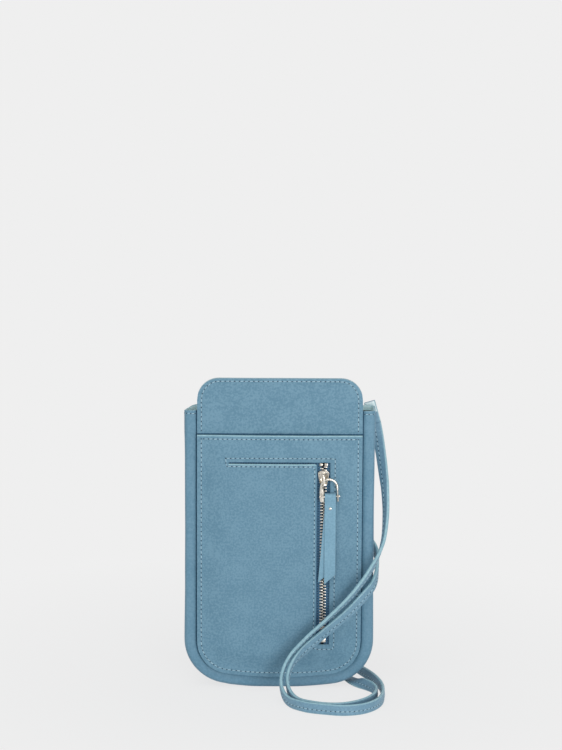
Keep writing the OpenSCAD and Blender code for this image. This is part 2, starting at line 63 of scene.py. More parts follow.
# Outer faces of the front panel and the pocket panel, and the places of the pocket's openings
FACE = HALF_D + PANEL_T
POCKET, RAISED = FACE + POCKET_T, 14.35
# The lip: a band 0.75 mm deep of the pocket's face under its mouth and under the slit, painted pale as a
# highlight
MOUTH, HIGHLIGHT_LIP = 163.0, 0.75
SLIT_LEFT, SLIT_LOW, SLIT_TOP = -31.5, 145.5, 146.5
WINDOW_LEFT, WINDOW_RIGHT, WINDOW_LOW, WINDOW_R = 22.9, 31.3, 29.71, 1.5

# Zip: its middle, the slider's upper end, and its tapes' front, ends, and edges from the middle
ZIP_X, SLIDER_TOP = 27.1, 141.4
TAPE_FRONT, TAPE_LOW, TAPE_HIGH, TAPE_INNER, TAPE_OUTER = -13.15, 25.71, 150.2, 0.98, 8.97

# Seams: their distance from a side and from the tab's top, their pitch, and the needle holes, whose dark
# discs are painted shade
STITCH_IN, STITCH_TOP_IN, STITCH_PITCH, HOLE_R = 2.6, 1.7, 2.95, 0.4
# Thread between two holes: its length as a share of their distance, its width and its height, and
# how far thread and holes stand over the leather
BEAD_LONG, BEAD_WIDE, BEAD_HIGH = 0.72, 0.56, 0.4
THREAD_LIFT, HOLE_LIFT = 0.03, 0.06

# Ring: the centre and radius of its arch, its legs' length, its wire, and how far it hangs askew
ARCH = Vector((30.6, -16.7, 131.51))
RING_R, RING_LEG, WIRE_R, ROLL = 5.0, 8.8, 0.75, math.radians(3)

# Pull tab: its middle, its pin's height, half its width, its length, and what the slant takes off
PULL_X, PIN_Z, PULL_HALF, PULL_L, PULL_SLANT = 31.31, 125.62, 3.45, 56.0, 6.5

# Strap: its flat section, and its route in metres from the right end round to the left end. Four
# points of the second strand over the front are about 1 mm lower than in the solid
STRAP_W, STRAP_T = 7.0, 2.0
END_TOP, END_WAY = Vector((55.5, 10.3, 179.7)), Vector((0.27564, 0, -0.96126))
ROUTE = [(0.05936, 0.0103, 0.16624), (0.061, 0.0106, 0.158), (0.0629, 0.0078, 0.147),
    (0.0643, 0.0033, 0.137), (0.0655, -0.0015, 0.127), (0.066, -0.005, 0.11), (0.064, -0.0105, 0.094),
    (0.0576, -0.0185, 0.081), (0.0455, -0.0235, 0.065), (0.0305, -0.025, 0.05),
    (0.016, -0.026, 0.0365), (0.006, -0.0285, 0.025), (0.0015, -0.036, 0.0125),
    (0.005, -0.047, 0.0046), (0.015, -0.0585, 0.0038), (0.028, -0.0638, 0.0037),
    (0.041, -0.066, 0.0037), (0.053, -0.0615, 0.0037), (0.0615, -0.05, 0.0037),
    (0.0647, -0.034, 0.0037), (0.064, -0.017, 0.0037), (0.06, -0.001, 0.0037), (0.0535, 0.014, 0.0037),
    (0.047, 0.028, 0.0037), (0.038, 0.043, 0.0037), (0.025, 0.056, 0.0037), (0.008, 0.061, 0.0037),
    (-0.017, 0.061, 0.0037), (-0.042, 0.061, 0.0037), (-0.0477, 0.0587, 0.0037),
    (-0.05, 0.053, 0.0037), (-0.0477, 0.0473, 0.0037), (-0.042, 0.045, 0.0037), (-0.02, 0.045, 0.0037),
    (0.004, 0.045, 0.0037), (0.027, 0.045, 0.0037), (0.0327, 0.0427, 0.0037), (0.035, 0.037, 0.0037),
    (0.0327, 0.0313, 0.0037), (0.027, 0.029, 0.0037), (0.006, 0.029, 0.0037), (-0.015, 0.029, 0.0037),
    (-0.036, 0.029, 0.0037), (-0.0417, 0.0267, 0.0037), (-0.044, 0.021, 0.0037),
    (-0.0417, 0.0153, 0.0037), (-0.036, 0.013, 0.0037), (-0.016, 0.013, 0.0037),
    (0.005, 0.0145, 0.0037), (0.026, 0.0165, 0.0041), (0.038, 0.0145, 0.0022), (0.0445, 0.006, 0.0013),
    (0.048, -0.0035, 0.0024), (0.054, -0.0125, 0.0037), (0.0593, -0.021, 0.0037),
    (0.0605, -0.032, 0.0037), (0.057, -0.045, 0.0037), (0.048, -0.056, 0.0037),
    (0.036, -0.0615, 0.0037), (0.022, -0.0585, 0.0037), (0.0105, -0.049, 0.0044),
    (0.0055, -0.037, 0.011), (0.008, -0.029, 0.0207), (0.0159, -0.024, 0.0292), (0.0288, -0.0225, 0.0402),
    (0.0427, -0.0215, 0.0523), (0.0525, -0.0195, 0.0625), (0.0585, -0.0145, 0.069),
    (0.061, -0.003, 0.076), (0.0598, 0.0102, 0.0845), (0.048, 0.0145, 0.0965), (0.028, 0.0132, 0.112),
    (0, 0.0127, 0.134), (-0.026, 0.0123, 0.154), (-0.041, 0.0123, 0.164), (-0.046, 0.0117, 0.172)]
# Direction of its width at each of those points. Over the front it is turned further towards the
# eye than in the solid, so that its smooth face shows
ON_EDGE = [(0, 0, 1)]
WIDTHS = (
    [(0.96126, 0, 0.27564), (0.93, -0.2, 0.15), (0.86, -0.5, 0.05), (0.75, -0.66, 0),
     (0.58, -0.81, 0), (0.35, -0.93, 0), (0.1, -0.97, 0.15), (-0.3, -0.9, 0.38),
     (-0.3, -0.9, 0.38), (-0.25, -0.93, 0.25), (-0.2, -0.95, 0.2), (-0.1, -0.95, 0.3),
     (0, -0.8, 0.6), (0, -0.25, 0.97)]
    + ON_EDGE * 36
    + [(0.4, 0.9, 0.1), (0.9, 0.4, 0), (0.85, 0.4, 0.3), (0.2, 0.15, 0.97)]
    + ON_EDGE * 6
    + [(0, -0.2, 0.98), (0, -0.65, 0.75), (-0.22, -0.88, 0.36), (-0.62, -0.5, 0.6),
       (-0.62, -0.5, 0.6), (-0.62, -0.5, 0.6), (-0.5, -0.5, 0.7), (-0.25, -0.45, 0.85),
       (0, -0.3, 0.9), (0.2, -0.3, 0.9), (0.5, -0.1, 0.8), (0.6, 0, 0.8), (0.6, 0, 0.8),
       (0.6, 0, 0.8), (0.9, 0, 0.4), (1, 0, 0)])

# Camera of the photograph. The picture's height, the focal length and how far the aimed point lies
# below the picture's middle are in pixels, and other lengths in millimetres
PICTURE_H, FOCAL, AIM_BELOW = 750, 3548, 158
SENSOR, VIEW_AIM, VIEW_DISTANCE = 36, Vector((0.5, -12, 101)), 2200
VIEW_RISE, VIEW_ROLL = math.radians(15), math.radians(0.3)


def place_camera():
    """Long lens above the pouch that looks slightly down, with the pouch low in the picture"""
    tilt = VIEW_RISE - math.atan(AIM_BELOW / FOCAL)
    forward = Vector((0, math.cos(tilt), -math.sin(tilt)))
    level, upright = Vector((1, 0, 0)), Vector((0, math.sin(tilt), math.cos(tilt)))
    right = level * math.cos(VIEW_ROLL) + upright * math.sin(VIEW_ROLL)
    up = upright * math.cos(VIEW_ROLL) - level * math.sin(VIEW_ROLL)
    place = VIEW_AIM + VIEW_DISTANCE * Vector((0, -math.cos(VIEW_RISE), math.sin(VIEW_RISE)))
    data = bpy.data.cameras.new("camera")
    data.sensor_width = SENSOR
    data.lens = FOCAL / PICTURE_H * SENSOR
    camera = bpy.data.objects.new("camera", data)
    camera.matrix_world = (Matrix.Translation(place * MM)
                           @ Matrix((right, up, -forward)).transposed().to_4x4())
    bpy.context.scene.collection.objects.link(camera)
    bpy.context.scene.camera = camera
    bpy.context.scene.view_settings.view_transform = "Standard"


place_camera()

# Materials. ONE_MM is the scale of a pattern whose features are 1 mm across
ONE_MM = 1000


def tint(code):
    """Linear colour from sRGB hex"""
    parts = [int(code[i:i + 2], 16) / 255 for i in (1, 3, 5)]
    return [p / 12.92 if p <= 0.04045 else ((p + 0.055) / 1.055) ** 2.4 for p in parts] + [1]


def add(tree, kind, inputs=None, **settings):
    """Node with its settings and its inputs, each a value or another node's output"""
    made = tree.nodes.new(kind)
    for key, value in settings.items():
        setattr(made, key, value)
    for key, value in (inputs or {}).items():
        if isinstance(value, bpy.types.NodeSocket):
            tree.links.new(value, made.inputs[key])
        else:
            made.inputs[key].default_value = value
    return made


def blank(name):
    """Material with an empty tree, and its object coordinates"""
    made = bpy.data.materials.new(name)
    made.use_nodes = True
    made.node_tree.nodes.clear()
    return made, made.node_tree, add(made.node_tree, "ShaderNodeTexCoord").outputs["Object"]


def dyed(tree, fac, low, high, dark, light):
    """Colour from dark to light as fac goes from low to high"""
    share = add(tree, "ShaderNodeMapRange", {"Value": fac, "From Min": low, "From Max": high})
    # Sockets 6 and 7 of a mix are its two colours, and output 2 is the mixed one
    return add(tree, "ShaderNodeMix", {0: share.outputs[0], 6: tint(dark), 7: tint(light)},
               data_type="RGBA").outputs[2]


def leather(name, dark, light, roughness=0.62):
    """Dyed smooth leather: cloudy dye, fine mottling and a shallow pebbled grain"""
    made, tree, coords = blank(name)
    # Clouds of dye 14 mm across, mottling of 1.2 mm and creases of 5 mm, each with the noise's
    # detail: the eye reads a soft, slightly worn hide
    cloud, mottling, crease = [
        add(tree, "ShaderNodeTexNoise",
            {"Vector": coords, "Scale": ONE_MM / size, "Detail": detail}).outputs["Fac"]
        for size, detail in ((14.0, 3.0), (1.2, 5.0), (5.0, 5.0))]
    mixed = add(tree, "ShaderNodeMath", {0: cloud, 1: 0.4, 2: mottling}, operation="MULTIPLY_ADD")
    # Real pebbles are 0.5 mm across and are drawn 1.1 mm across, so that they show at this distance
    pebble = add(tree, "ShaderNodeTexVoronoi", {"Vector": coords, "Scale": ONE_MM / 1.1},
                 feature="SMOOTH_F1").outputs["Distance"]
    height = add(tree, "ShaderNodeMath", {0: crease, 1: 1.6, 2: pebble}, operation="MULTIPLY_ADD")
    bump = add(tree, "ShaderNodeBump", {"Strength": 0.55, "Distance": 0.05 * MM,
                                        "Height": height.outputs[0]})
    shine = add(tree, "ShaderNodeMapRange", {"Value": mottling, "To Min": roughness - 0.06,
                                             "To Max": roughness + 0.08})
    shader = add(tree, "ShaderNodeBsdfPrincipled",
                 {"Base Color": dyed(tree, mixed.outputs[0], 0.58, 0.82, dark, light),
                  "Roughness": shine.outputs[0], "Normal": bump.outputs[0],
                  "Specular IOR Level": 0.35, "Sheen Weight": 0.08, "Sheen Roughness": 0.5})
    add(tree, "ShaderNodeOutputMaterial", {"Surface": shader.outputs[0]})
    return made


def paint(name, dark, light):
    """Thin satin coat, with the 1.6 mm unevenness of a coat rolled on by hand"""
    made, tree, coords = blank(name)
    uneven = add(tree, "ShaderNodeTexNoise",
                 {"Vector": coords, "Scale": ONE_MM / 1.6, "Detail": 3.0}).outputs["Fac"]
    bump = add(tree, "ShaderNodeBump", {"Strength": 0.4, "Distance": 0.05 * MM, "Height": uneven})
    shader = add(tree, "ShaderNodeBsdfPrincipled",
                 {"Base Color": dyed(tree, uneven, 0.35, 0.65, dark, light), "Roughness": 0.45,
                  "Normal": bump.outputs[0]})
    add(tree, "ShaderNodeOutputMaterial", {"Surface": shader.outputs[0]})
    return made


def cloth(name, dark, light, pitch, height):
    """Plain weave. Real threads are 0.3 mm apart, and are drawn further apart so that they show"""
    made, tree, coords = blank(name)
    # One period of a wave, which is pi / (10 * scale), holds a thread over and a thread under
    scale = math.pi * ONE_MM / (20 * pitch)
    ways = [add(tree, "ShaderNodeTexWave",
                {"Vector": coords, "Scale": scale, "Distortion": 0.6, "Detail": 1.0},
                bands_direction=way).outputs["Fac"] for way in ("X", "Z")]
    woven = add(tree, "ShaderNodeMath", {0: ways[0], 1: ways[1]}, operation="MAXIMUM").outputs[0]
    bump = add(tree, "ShaderNodeBump", {"Strength": 0.7, "Distance": height * MM, "Height": woven})
    shader = add(tree, "ShaderNodeBsdfPrincipled",
                 {"Base Color": dyed(tree, woven, 0.3, 1.0, dark, light), "Roughness": 0.85,
                  "Normal": bump.outputs[0], "Sheen Weight": 0.3, "Sheen Roughness": 0.4})
    add(tree, "ShaderNodeOutputMaterial", {"Surface": shader.outputs[0]})
    return made


def metal(name, dark, light, roughness):
    """Polished metal, rubbed duller in spots 1.2 mm across, which break up its reflections"""
    made, tree, coords = blank(name)
    rubbed = add(tree, "ShaderNodeTexNoise",
                 {"Vector": coords, "Scale": ONE_MM / 1.2, "Detail": 3.0}).outputs["Fac"]
    shine = add(tree, "ShaderNodeMapRange", {"Value": rubbed, "To Min": roughness - 0.05,
                                             "To Max": roughness + 0.1})
    bump = add(tree, "ShaderNodeBump", {"Strength": 0.15, "Distance": 0.02 * MM, "Height": rubbed})
    shader = add(tree, "ShaderNodeBsdfPrincipled",
                 {"Base Color": dyed(tree, rubbed, 0.35, 0.65, dark, light), "Metallic": 1.0,
                  "Roughness": shine.outputs[0], "Normal": bump.outputs[0]})
    add(tree, "ShaderNodeOutputMaterial", {"Surface": shader.outputs[0]})
    return made


# Smooth blue-grey leather of the panels and the gusset: one matte, faintly mottled hide
LEATHER = leather("leather_front", "#60899f", "#7299ae")
GUSSET = leather("leather_gusset", "#628ca3", "#7097ad", roughness=0.58)
# Strips of the same hide, rubbed by the hand: a little paler, with a softer shine
PULL = leather("leather_puller", "#76a0b6", "#81abc0", roughness=0.55)
STRAP = leather("leather_strap", "#7197ad", "#7ea4b9", roughness=0.55)
# Painted shade: darker leather in the gusset welt's groove and in a band of the tab at the pocket's
# mouth, drawn as the dark line that shade makes there
SEAM_SHADE = leather("leather_seam_painted_shade", "#2c5068", "#3b627b", roughness=0.75)
# Inner faces, left pale and chalky: the gusset's, and the raw side of the strap's end
INSIDE = leather("leather_facing", "#c9eef1", "#dff9fa", roughness=0.7)
RAW = leather("leather_raw_face", "#cde2e5", "#e4f1f2", roughness=0.7)
# Edge paint, a pale satin line along every cut edge; carried onto the lips of the pocket's mouth and
# slit, it is also a painted highlight
EDGE_PAINT_AND_HIGHLIGHT = paint("edge_paint_and_highlight", "#8ab3c0", "#9cc2cc")
# Woven cloths: the pale lining, the blue zip tape, and the dark bag deep behind the slit
LINING = cloth("lining_weave", "#c0d8dc", "#dcecef", 0.9, 0.06)
TAPE = cloth("zip_tape_weave", "#27475f", "#426b88", 0.8, 0.08)
BAG = cloth("pocket_bag_weave", "#101c28", "#1d2f40", 0.9, 0.06)
# Polished nickel, warm and bright, a little duller on the teeth
NICKEL = metal("polished_nickel", "#bdb6ab", "#ece7dd", 0.18)
TEETH = metal("nickel_teeth", "#bdb7ad", "#f4f1ea", 0.26)
# Hidden parts: plain steel, and board with the marks of the felt it was pressed on
STEEL = metal("magnet_steel", "#85888c", "#9a9da1", 0.4)
BOARD = cloth("pressed_board", "#9a958c", "#aaa59b", 1.3, 0.04)
# Waxed thread, paler than the leather, between needle holes drawn as small dark discs of painted shade
THREAD = paint("waxed_thread", "#98bac8", "#b4d1db")
HOLE_SHADE = paint("needle_hole_painted_shade", "#263f50", "#314d5f")

# Distance under which two points are one, in metres
WELD = 1e-6


# Shapes and places
def ease(value, start, stop):
    """From 0 to 1, gently, as the value goes from start to stop"""
    t = min(1.0, max(0.0, (value - start) / (stop - start)))
    return t * t * (3 - 2 * t)


def ripple(x, z, size, reach, seed):
    """Slow unevenness of soft leather, its waves about size long and up to reach high"""
    return reach * noise.noise(Vector((x / size, z / size, seed)))


def steps(start, stop, size):
    """Even places from start to stop, about size apart"""
    count = max(1, round(abs(stop - start) / size))
    return [start + (stop - start) * i / count for i in range(count + 1)]


def angles(sweep, count):
    """Even angles from 0 to the whole sweep"""
    return [sweep * i / count for i in range(count + 1)]


def lines(fixed, others, gap):
    """Places of grid lines: the fixed ones, and the others that aren't too close to a kept one"""
    kept = list(fixed)
    for value in others:
        if all(abs(value - k) > gap for k in kept):
            kept.append(value)
    return sorted(kept)


def grid(cols, rows, place, finish=None):
    """Grid whose points go where place says. finish gives each face's material, -1 for a hole"""
    bm = bmesh.new()
    wide, high = len(cols) - 1, len(rows) - 1
    # The grid starts 1 wide and 1 high, with its middle at the origin
    bmesh.ops.create_grid(bm, x_segments=wide, y_segments=high, size=0.5)
    holes = []
    if finish:
        for face in bm.faces:
            middle = face.calc_center_median()
            kind = finish(int((middle.x + 0.5) * wide), int((middle.y + 0.5) * high))
            if kind < 0:
                holes.append(face)
            else:
                face.material_index = kind
    for vert in bm.verts:
        col = cols[round((vert.co.x + 0.5) * wide)]
        row = rows[round((vert.co.y + 0.5) * high)]
        vert.co = place(col, row) * MM
    bmesh.ops.delete(bm, geom=holes, context="FACES")
    bmesh.ops.remove_doubles(bm, verts=bm.verts, dist=WELD)
    return bm


def close_ends(bm, finish=0):
    """Fills the open ends of a tube"""
    filled = bmesh.ops.holes_fill(bm, edges=[e for e in bm.edges if e.is_boundary], sides=0)
    for face in filled["faces"]:
        face.material_index = finish
    return bm


def piece(name, bm, finishes, replaced=(), body="pouch", thick=0, offset=-1,
          edge=0, segments=2, rim=0, closed=True):
    """Object on its body, standing for its solids, with its leather thickness and soft edges"""
    if closed:
        bmesh.ops.recalc_face_normals(bm, faces=bm.faces)
    mesh = bpy.data.meshes.new(name)
    bm.to_mesh(mesh)
    bm.free()
    mesh.shade_smooth()
    for finish in finishes:
        mesh.materials.append(finish)
    made = bpy.data.objects.new(name, mesh)
    bpy.context.scene.collection.objects.link(made)
    if thick:
        wall = made.modifiers.new("thickness", "SOLIDIFY")
        wall.thickness = thick * MM
        wall.offset = offset
        wall.material_offset_rim = rim
    if edge:
        bevel = made.modifiers.new("edge", "BEVEL")
        bevel.width = edge * MM
        bevel.segments = segments
        bevel.angle_limit = math.radians(40)
        bevel.harden_normals = True
    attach(made, body)
    if replaced:
        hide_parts(*replaced)
    return made


# Outline of the body
def low(x, inset):
    """Height of the outline's lower side, held in by inset"""
    x = abs(x)
    if x < (BOW_R - inset) * math.sin(LEAN):
        return BOW_Z - math.sqrt((BOW_R - inset) ** 2 - x * x)
    return ROUND_Z - math.sqrt(max(0.0, (CORNER_R - inset) ** 2 - (x - ROUND_X) ** 2))


def high(x):
    """Height of the tab's upper side"""
    return TAB_TOP - TAB_R + math.sqrt(max(0.0, TAB_R ** 2 - max(0.0, abs(x) - TAB_MIDDLE) ** 2))


def round_the_body(top):
    """Places down the left side, round the bottom and up the right side, each with the side, and
    with the centre, radius and slope of its arc"""
    half = [(Vector((0, 0, BOW_Z)), BOW_R, a) for a in angles(LEAN, 12)[:-1]]
    corner = Vector((ROUND_X, 0, ROUND_Z))
    half += [(corner, CORNER_R, LEAN + a) for a in angles(math.pi / 2 - LEAN, 28)]
    half += [(Vector((ROUND_X, 0, z)), CORNER_R, math.pi / 2) for z in steps(ROUND_Z, top, 4.0)[1:]]
    return [(-1, *p) for p in reversed(half)] + [(1, *p) for p in half[1:]]


def on_outline(place, inset, y=0.0):
    """Point of the outline, held in by inset, and no lower than the flat foot"""
    side, centre, radius, slope = place
    reach = radius - inset
    return Vector((side * (centre.x + reach * math.sin(slope)), y,
                   max(inset, centre.z - reach * math.cos(slope))))


def columns(inset, fixed=(), tab=False):
    """Grid columns of a panel that fall evenly round its corners"""
    reach = CORNER_R - inset
    places = [ROUND_X + reach * math.sin(a) for a in angles(math.pi / 2, 14)[:-1]]
    if tab:
        places += [TAB_MIDDLE + TAB_R * math.sin(a) for a in angles(math.pi / 2, 12)[:-1]]
    places = sorted(places + steps(0, ROUND_X, 3.0), reverse=True)
    both = [side * p for p in places for side in (-1, 1)]
    return lines([*fixed, -ROUND_X - reach, ROUND_X + reach], both, 0.45)


# Stitching
def evenly(row, pitch):
    """Pairs of point and outward direction along a row, at an even pitch near the one asked"""
    gaps = [(b[0] - a[0]).length for a, b in zip(row, row[1:])]
    total = sum(gaps)
    count = max(1, round(total / pitch))
    places, k, done = [], 0, 0.0
    for i in range(count + 1):
        goal = min(total * i / count, total - 1e-6)
        while done + gaps[k] < goal:
            done += gaps[k]
            k += 1
        t = (goal - done) / gaps[k]
        (a, out_a), (b, out_b) = row[k:k + 2]
        places.append((a.lerp(b, t), out_a.lerp(out_b, t).normalized()))
    return places


def stamp(bm, source, matrix):
    """Adds a moved copy of a small mesh"""
    copy = source.copy()
    copy.transform(matrix)
    bm.from_mesh(copy)
    bpy.data.meshes.remove(copy)


def sew(name, rows, pitch=STITCH_PITCH):
    """A slanted bead of thread between each two needle holes of every row, and a dark disc of painted
    shade at each hole
    """
    bead, hole = bpy.data.meshes.new("bead"), bpy.data.meshes.new("hole")
    bm = bmesh.new()
    # The bead starts as a ball 1 mm across, so that its scales are its sizes
    bmesh.ops.create_uvsphere(bm, u_segments=6, v_segments=4, radius=0.5 * MM)
    bmesh.ops.rotate(bm, verts=bm.verts, matrix=Matrix.Rotation(math.pi / 2, 3, "Y"))
    bm.to_mesh(bead)
    bm.clear()
    # Each needle hole is a flat dark disc of painted shade
    bmesh.ops.create_circle(bm, cap_ends=True, segments=7, radius=HOLE_R * MM)
    for face in bm.faces:
        face.material_index = 1
    bm.to_mesh(hole)
    bm.clear()
    slant = Matrix.Rotation(math.radians(7), 4, "Z")
    for row in rows:
        places = evenly(row, pitch)
        for (a, out), (b, out_b) in zip(places, places[1:]):
            along = (b - a).normalized()
            across = out.cross(along).normalized()
            turn = Matrix((along, across, along.cross(across))).transposed().to_4x4() @ slant
            shape = Matrix.Diagonal(((b - a).length * BEAD_LONG, BEAD_WIDE, BEAD_HIGH, 1))
            middle = (a + b) / 2 + (out + out_b).normalized() * THREAD_LIFT
            stamp(bm, bead, Matrix.Translation(middle * MM) @ turn @ shape)
        for a, out in places:
            turn = out.to_track_quat("Z", "Y").to_matrix().to_4x4()
            stamp(bm, hole, Matrix.Translation((a + out * HOLE_LIFT) * MM) @ turn)
    bpy.data.meshes.remove(bead)
    bpy.data.meshes.remove(hole)
    return piece(name, bm, [THREAD, HOLE_SHADE], closed=False)


def row_on(points, surface, out=FRONT):
    """Row of a seam drawn in X and Z, just over a surface that gives Y"""
    return [(Vector((x, surface(x, z), z)) + out * THREAD_LIFT, out) for x, z in points]


def seam(corners, size=2.0):
    """Points in X and Z along straight lines between corners"""
    points = []
    for (xa, za), (xb, zb) in zip(corners, corners[1:]):
        count = max(1, round(math.hypot(xb - xa, zb - za) / size))
        points += [(xa + (xb - xa) * i / count, za + (zb - za) * i / count) for i in range(count)]
    return points + [corners[-1]]


def tab_seam(foot):
    """Points up one side of the tab, over its top and down the other side"""
    wide, tall = TAB_R - STITCH_IN, TAB_R - STITCH_TOP_IN
    arc = [(TAB_MIDDLE + wide * math.cos(a), TAB_TOP - TAB_R + tall * math.sin(a))
           for a in angles(math.pi / 2, 10)]
    half = [(TAB_MIDDLE + wide, foot)] + arc
    return seam([(-x, z) for x, z in half] + half[::-1])


def base_seam(top):
    """Points down the left side of a panel, round its bottom and up the right side"""
    places = [on_outline(p, BORDER + STITCH_IN) for p in round_the_body(top)]
    return [(p.x, p.z) for p in places]


# Strap: one flat tube along its route
route = [Vector(p) / MM for p in ROUTE]


def route_point(place):
    """Point of a smooth curve through the route, place counting its points"""
    i = min(len(route) - 2, int(place))
    t = place - i
    u = 1 - t
    a, b = route[i], route[i + 1]
    way = [(route[min(len(route) - 1, k + 1)] - route[max(0, k - 1)]).normalized() for k in (i, i + 1)]
    bend = t * u * (b - a).length
    return u * u * (1 + 2 * t) * a + t * t * (3 - 2 * t) * b + bend * (u * way[0] - t * way[1])


def strap_frames(per_point=7, near=0.02):
    """Centre, direction, width direction and face direction at every ring of the strap"""
    last = len(ROUTE) - 1
    frames = []
    for n in range(last * per_point + 1):
        place = n / per_point
        i = min(last - 1, int(place))
        before, after = route_point(max(0, place - near)), route_point(min(last, place + near))
        along = (after - before).normalized()
        if place in (0, last):
            along = UP if n else END_WAY
        across = Vector(WIDTHS[i]).lerp(Vector(WIDTHS[i + 1]), place - i)
        across = (across - along * across.dot(along)).normalized()
        frames.append((route_point(place), along, across, along.cross(across)))
    return frames


# Sides of the strap's section that are one flat face, and those of that face with one edge
FACE_SIDES, HALF_SIDES = 5, 10


def flat_section():
    """Corners of the strap's section: one crowned face and one rounded edge, and again turned"""
    half, crown = STRAP_W / 2, 0.12
    flat, shoulder = half - 0.55, half - 0.2
    face = [-flat, -half * 0.6, -half * 0.2, half * 0.2, half * 0.6, flat]
    upper = [(x, STRAP_T / 2 - crown * (x / half) ** 4) for x in face]
    edge = [(shoulder, 0.62), (half, 0.2), (half, -0.2), (shoulder, -0.62)]
    return upper + edge + [(-x, -y) for x, y in upper + edge]


SECTION = flat_section()


def flat_tube(frames, raw=0):
    """Strap leather through its frames, with painted edges, and a raw face over the first frames"""
    def finish(i, j):
        if i % HALF_SIDES >= FACE_SIDES:
            return 1
        return 2 if i < FACE_SIDES and j < raw else 0
    return close_ends(grid(SECTION + SECTION[:1], frames,
                           lambda p, f: f[0] + f[2] * p[0] + f[3] * p[1], finish))


def strap_seam(frames, offset=-0.7):
    """Rows of stitches on both faces of the strap, a little to one side of its middle"""
    return [[(centre + across * offset + face * side * STRAP_T / 2, face * side)
             for centre, along, across, face in frames] for side in (1, -1)]


frames = strap_frames()
strap = piece("shoulder_strap", flat_tube(frames), [STRAP, EDGE_PAINT_AND_HIGHLIGHT], ["strap"])
strap_stitches = sew("strap_stitches", strap_seam(frames))


def straight_end():
    """Right strap end, flat behind the gusset's corner, its raw face showing above the rim"""
    length, raw, across = 14.0, 7, FRONT.cross(END_WAY)
    frames = [(END_TOP + END_WAY * drop, END_WAY, across, FRONT) for drop in steps(0, length, 1.0)]
    piece("strap_end_right_leather", flat_tube(frames, raw), [STRAP, EDGE_PAINT_AND_HIGHLIGHT, RAW],
          ["strap_end_right"])


def folded_end():
    """Left strap end: a leg inside the back wall, a fold over it and a leg outside"""
    middle, radius, inner, outer = Vector((-46, 8.7, 178)), 3.0, 18.0, 6.0
    path = [(-radius, z) for z in steps(-inner, 0, 3.6)[:-1]]
    path += [(-radius * math.cos(a), radius * math.sin(a)) for a in angles(math.pi, 14)]
    path += [(radius, z) for z in steps(0, -outer, 2.0)[1:]]
    ways = [Vector(b) - Vector(a) for a, b in zip(path[:1] + path[:-1], path[1:] + path[-1:])]
    across = Vector((-1, 0, 0))
    frames = []
    for (reach, rise), way in zip(path, ways):
        along = Vector((0, way.x, way.y)).normalized()
        frames.append((middle + Vector((0, reach, rise)), along, across, along.cross(across)))
    piece("strap_end_left_leather", flat_tube(frames), [STRAP, EDGE_PAINT_AND_HIGHLIGHT], ["strap_end_left"])


straight_end()
folded_end()


# Front panel with its tab, its facing, and the back panel
def tab_wave(x, z):
    """Gentle wave of the tab, the same in its front and its facing"""
    return ripple(x, z, 32, 0.3, 3.1)


def front_face(x, z):
    """Outer face of the front panel, whose tab sinks a little towards the card pocket's mouth"""
    sunk = 0.55 * ease(z, MOUTH + 8, MOUTH)
    return -FACE + tab_wave(x, z) + sunk


def facing_face(x, z):
    """Outer face of the tab's facing"""
    return -HALF_D + FACING_T + tab_wave(x, z)


def back_face(x, z):
    """Outer face of the back panel, slightly uneven"""
    return FACE + ripple(x, z, 40, 0.3, 9.0)


PANEL_ROWS = steps(ROW_LOW, ROW_LEVEL, 3.0) + steps(ROW_LEVEL, ROW_TAB, 6.0)[1:]
BACK_ROWS = [r for r in PANEL_ROWS if r < BODY_H - 3] + [BODY_H]
# The tab's leather gets painted shade, the seam leather, from 1.5 mm below the mouth to just above it,
# where the pocket's lip shades it
MOUTH_SHADE_LOW, MOUTH_SHADE_TOP = MOUTH - 1.5, MOUTH + 0.8
TAB_ROWS = lines([ROW_LOW, ROW_TAB, MOUTH_SHADE_LOW, MOUTH_SHADE_TOP],
                 PANEL_ROWS + steps(ROW_TAB, TAB_TOP, 1.8)[1:], 1.0)
FACING_ROWS = steps(BODY_H + 0.3, ROW_TAB, 2.0) + steps(ROW_TAB, TAB_TOP, 1.8)[1:]


def panel_place(surface, inset, top, mirrored=1):
    """Panel point: rows follow the bottom's outline low down, and the tab's outline near its top"""
    def place(x, row):
        if row < ROW_LEVEL:
            foot = low(x, inset)
            z = foot + (ROW_LEVEL - foot) * (row - ROW_LOW) / (ROW_LEVEL - ROW_LOW)
        elif row <= ROW_TAB:
            z = min(row, top)
        else:
            z = ROW_TAB + (high(x) - ROW_TAB) * (row - ROW_TAB) / (TAB_TOP - ROW_TAB)
        return Vector((x * mirrored, surface(x, z), z))
    return place


piece("front_panel_leather",
      grid(columns(BORDER, tab=True), TAB_ROWS, panel_place(front_face, BORDER, TAB_TOP),
           # The faces of that band get painted shade
           lambda i, j: 2 if TAB_ROWS[j] == MOUTH_SHADE_LOW else 0),
      [LEATHER, EDGE_PAINT_AND_HIGHLIGHT, SEAM_SHADE], ["front_panel"], thick=PANEL_T, edge=0.3, rim=1, closed=False)
piece("back_panel_leather",
      grid(columns(BORDER), BACK_ROWS, panel_place(back_face, BORDER, BODY_H, -1)),
      [LEATHER, EDGE_PAINT_AND_HIGHLIGHT], ["back_panel"], thick=PANEL_T, edge=0.3, rim=1, closed=False)
piece("tab_facing_leather",
      grid(columns(BORDER, tab=True), FACING_ROWS,
           panel_place(lambda x, z: facing_face(-x, z), BORDER, TAB_TOP, -1)),
      [LEATHER, EDGE_PAINT_AND_HIGHLIGHT], ["tab_facing"], thick=FACING_T, edge=0.25, rim=1, closed=False)


# Pocket panel: how far its mouth flares, the slit's flap lifts, the leather above the slit sinks,
# and the whole panel is uneven
FLARE, FLAP_LIFT, SUNK, UNEVEN = 0.9, 0.7, 0.45, 0.22


